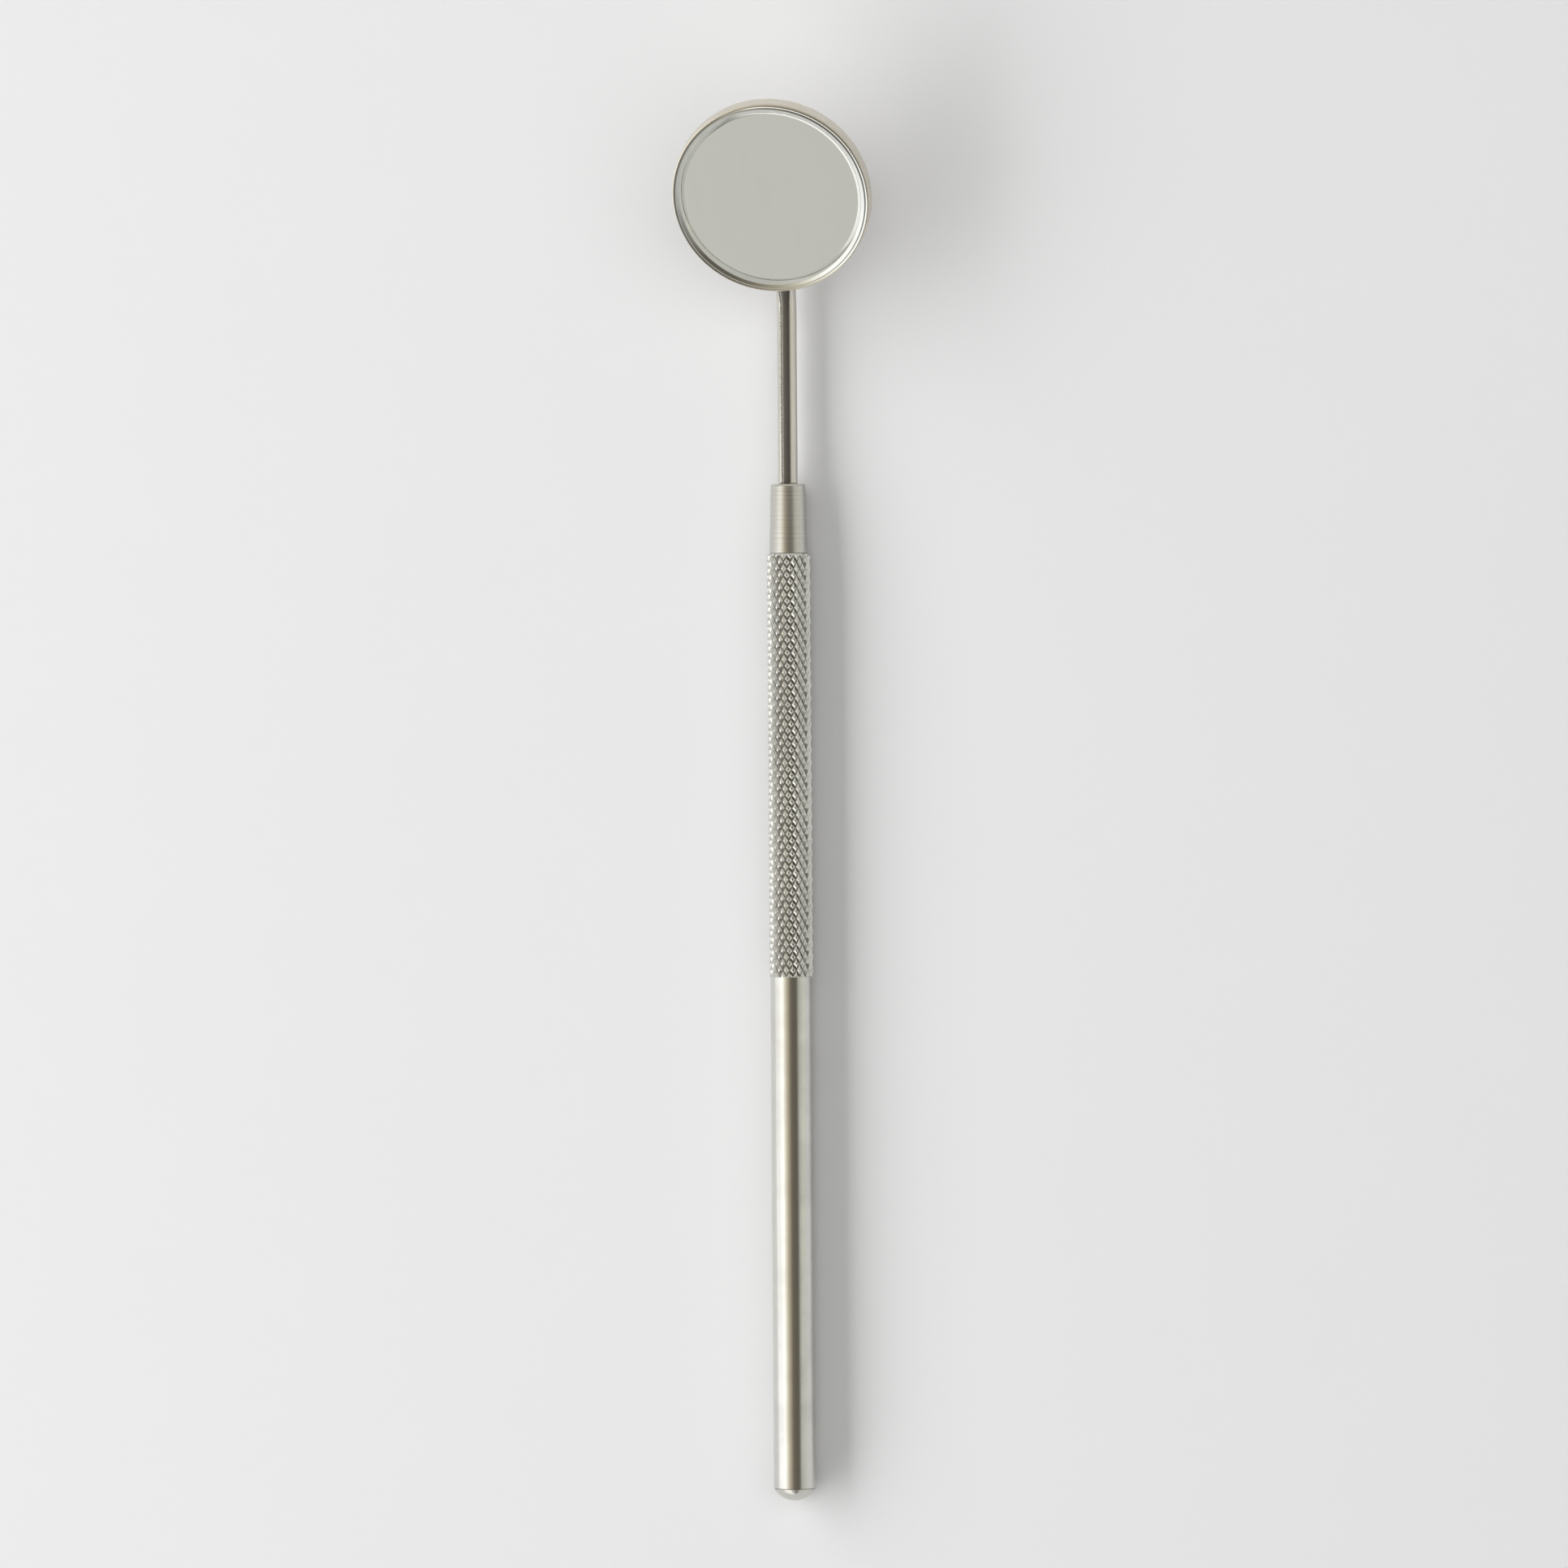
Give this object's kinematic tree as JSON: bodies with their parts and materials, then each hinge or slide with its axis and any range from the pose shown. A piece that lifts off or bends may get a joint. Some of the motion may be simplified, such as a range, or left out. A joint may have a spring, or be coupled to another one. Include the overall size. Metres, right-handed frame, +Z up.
{
  "type": "mouth mirror",
  "caption": "Round mirror head set at a slant on a bent stem that screws into a slim round handle with a diamond-knurled grip and a domed end.",
  "frame": {"origin": "middle of the mirror's length and width, on the surface that it lies on", "axes": "+Y along the handle towards the head, +Z up from the surface, with the mirror's face upwards"},
  "size_m": [0.024, 0.1672, 0.018],
  "materials": {
    "tube_steel": "satin",
    "nose_steel": "satin",
    "plug_steel": "satin",
    "stem_steel": "polished",
    "solder": "satin",
    "cup_steel": "satin",
    "rim_steel": "polished",
    "silvered_glass": "polished",
    "cushion_board": "matte"
  },
  "bodies": {
    "handle": {"handle_tube": "tube_steel", "nose_collar": "nose_steel", "end_plug": "plug_steel"},
    "mirror_unit": {"stem": "stem_steel", "solder_fillet": "solder", "mirror_cup": "cup_steel", "rim_ring": "rim_steel", "mirror_glass": "silvered_glass", "cushion_disc": "cushion_board"}
  },
  "joints": [
    {"name": "stem_unscrew", "type": "slide", "parent": "handle", "child": "mirror_unit", "axis": [0, 1, 0], "range_m": [0, 0.008]}
  ]
}
